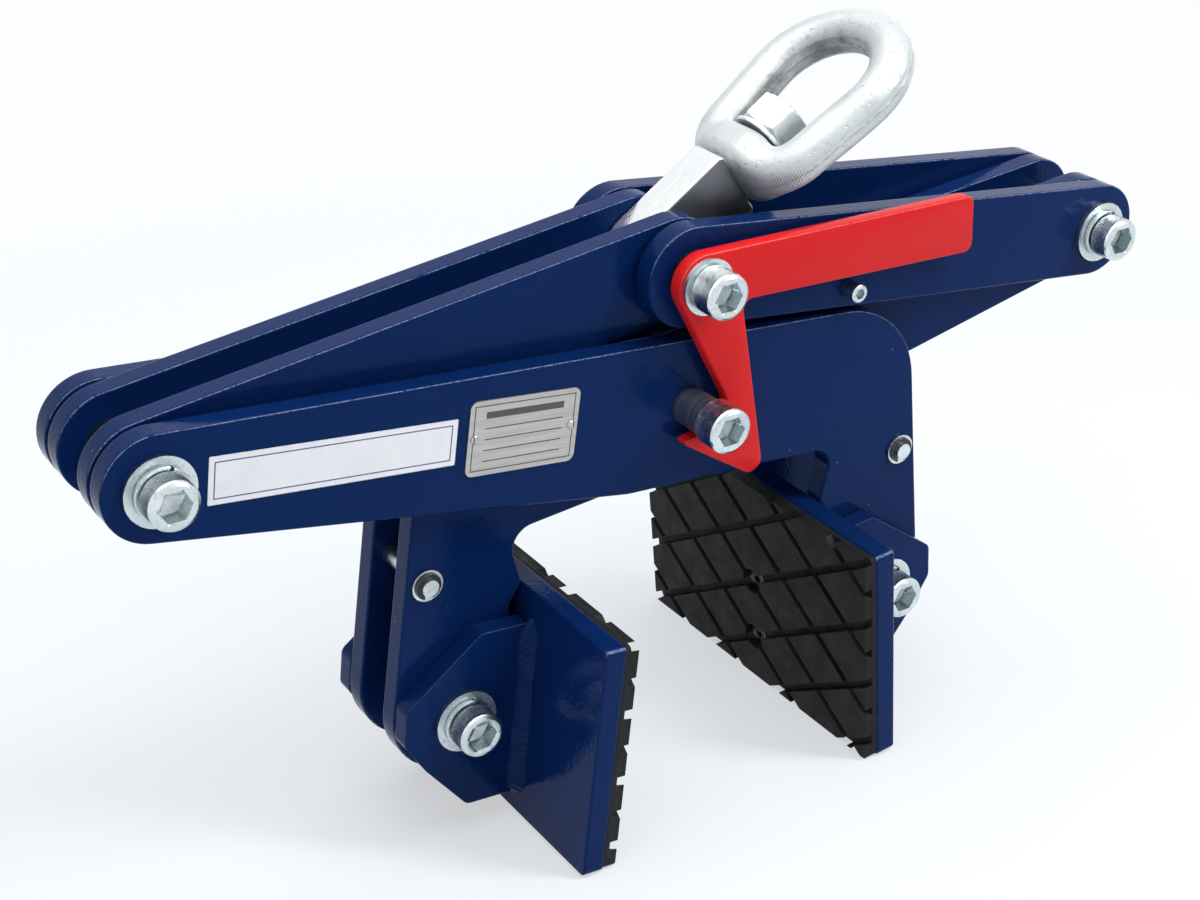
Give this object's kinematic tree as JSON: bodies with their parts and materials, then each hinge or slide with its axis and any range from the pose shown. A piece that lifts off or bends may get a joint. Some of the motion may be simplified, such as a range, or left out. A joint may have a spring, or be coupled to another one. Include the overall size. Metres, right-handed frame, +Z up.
{
  "type": "lifting tongs",
  "caption": "Scissor lifting tongs for slabs: crossed blue plate arms and links under a swivel eye, hinged jaws with treaded rubber pads and a red hold-open latch.",
  "frame": {"origin": "on the floor under the centre pivot, midway between the front and rear plates", "axes": "+X along the arms from the left end pivot to the right one, +Y across the plates away from the latch side, +Z up"},
  "size_m": [0.6108, 0.2, 0.3825],
  "materials": {
    "blue_paint": "deep blue powder coat, glossy with a fine orange peel",
    "red_paint": "red powder coat",
    "zinc_steel": "bright zinc plate",
    "galvanised": "hot-dip galvanised, dull silver",
    "tongue_steel": "bright zinc plate on flat bar",
    "dark_steel": "blackened steel",
    "black_rubber": "matt black rubber tread",
    "plate_aluminium": "satin aluminium, blank",
    "white_label": "plain white adhesive label"
  },
  "bodies": {
    "centre_pivot": {"centre_bolt": "zinc_steel", "centre_nut": "zinc_steel", "centre_washers": "zinc_steel", "centre_sleeve": "dark_steel", "centre_tube": "dark_steel", "centre_shims": "dark_steel"},
    "outer_arm": {"outer_arm_front": "blue_paint", "outer_arm_rear": "blue_paint", "left_pivot_bolt": "zinc_steel", "left_pivot_nut": "zinc_steel", "left_pivot_washers": "zinc_steel", "left_pivot_tube": "dark_steel", "left_pivot_shims": "dark_steel", "outer_arm_cross_pin": "zinc_steel", "outer_arm_pin_washers": "zinc_steel", "outer_arm_pin_clips": "dark_steel", "rating_plate": "plate_aluminium", "rating_plate_rivets": "plate_aluminium", "label": "white_label"},
    "inner_arm": {"inner_arm_front": "blue_paint", "inner_arm_rear": "blue_paint", "right_pivot_bolt": "zinc_steel", "right_pivot_nut": "zinc_steel", "right_pivot_washers": "zinc_steel", "right_pivot_tube": "dark_steel", "right_pivot_shims": "dark_steel", "inner_arm_cross_pin": "zinc_steel", "inner_arm_pin_washers": "zinc_steel", "inner_arm_pin_clips": "dark_steel"},
    "left_link": {"left_link_front": "blue_paint", "left_link_rear": "blue_paint"},
    "right_link": {"right_link_front": "blue_paint", "right_link_rear": "blue_paint", "top_bolt": "zinc_steel", "top_nut": "zinc_steel", "top_washers": "zinc_steel", "top_shims": "dark_steel", "latch_spacer": "dark_steel", "latch_stop_screw": "zinc_steel"},
    "latch": {"latch_lever": "red_paint"},
    "tongue": {"eye_tongue": "tongue_steel", "swivel_bolt": "zinc_steel", "swivel_washer": "zinc_steel"},
    "eye": {"swivel_eye": "galvanised"},
    "left_jaw_pin": {"left_jaw_bolt": "zinc_steel", "left_jaw_nut": "zinc_steel", "left_jaw_washers": "zinc_steel", "left_jaw_tube": "dark_steel"},
    "right_jaw_pin": {"right_jaw_bolt": "zinc_steel", "right_jaw_nut": "zinc_steel", "right_jaw_washers": "zinc_steel", "right_jaw_tube": "dark_steel"},
    "left_jaw": {"left_jaw_plate": "blue_paint", "left_jaw_lugs": "blue_paint", "left_jaw_pad": "black_rubber", "left_jaw_pad_screws": "dark_steel"},
    "right_jaw": {"right_jaw_plate": "blue_paint", "right_jaw_lugs": "blue_paint", "right_jaw_pad": "black_rubber", "right_jaw_pad_screws": "dark_steel"}
  },
  "joints": [
    {"name": "scissor", "type": "hinge", "parent": "centre_pivot", "child": "outer_arm", "pos_m": [0, 0, 0.21247], "axis": [0, 1, 0], "range_deg": [0, 24.6]},
    {"name": "inner_arm_turn", "type": "hinge", "parent": "centre_pivot", "child": "inner_arm", "pos_m": [0, 0, 0.21247], "axis": [0, 1, 0], "range_deg": [-24.6, 0]},
    {"name": "left_link_turn", "type": "hinge", "parent": "outer_arm", "child": "left_link", "pos_m": [-0.2794, 0, 0.24677], "axis": [0, 1, 0], "range_deg": [-49.2, 0]},
    {"name": "right_link_turn", "type": "hinge", "parent": "inner_arm", "child": "right_link", "pos_m": [0.2794, 0, 0.24677], "axis": [0, 1, 0], "range_deg": [0, 49.2]},
    {"name": "latch_turn", "type": "hinge", "parent": "right_link", "child": "latch", "pos_m": [0, 0, 0.28107], "axis": [0, -1, 0], "range_deg": [-3.8, 18]},
    {"name": "eye_tilt", "type": "hinge", "parent": "right_link", "child": "tongue", "pos_m": [0, 0, 0.28107], "axis": [0, -1, 0], "range_deg": [0, 92]},
    {"name": "eye_swivel", "type": "hinge", "parent": "tongue", "child": "eye", "pos_m": [0, 0, 0.28107], "axis": [0.8348, 0, 0.5505], "continuous": true},
    {"name": "left_jaw_turn", "type": "hinge", "parent": "inner_arm", "child": "left_jaw_pin", "pos_m": [-0.131, 0, 0.07047], "axis": [0, 1, 0], "range_deg": [0, 19.11]},
    {"name": "right_jaw_turn", "type": "hinge", "parent": "outer_arm", "child": "right_jaw_pin", "pos_m": [0.131, 0, 0.07047], "axis": [0, 1, 0], "range_deg": [-19.11, 0]},
    {"name": "left_jaw_swing", "type": "hinge", "parent": "left_jaw_pin", "child": "left_jaw", "pos_m": [-0.131, 0, 0.07047], "axis": [0, 1, 0], "range_deg": [0, 4]},
    {"name": "right_jaw_swing", "type": "hinge", "parent": "right_jaw_pin", "child": "right_jaw", "pos_m": [0.131, 0, 0.07047], "axis": [0, -1, 0], "range_deg": [0, 4]}
  ],
  "couplings": [
    {"joint": "inner_arm_turn", "follows": "scissor", "ratio": -1},
    {"joint": "left_link_turn", "follows": "scissor", "ratio": -2},
    {"joint": "right_link_turn", "follows": "scissor", "ratio": 2},
    {"joint": "left_jaw_turn", "follows": "scissor", "ratio": 0.77642},
    {"joint": "right_jaw_turn", "follows": "scissor", "ratio": -0.77642}
  ]
}
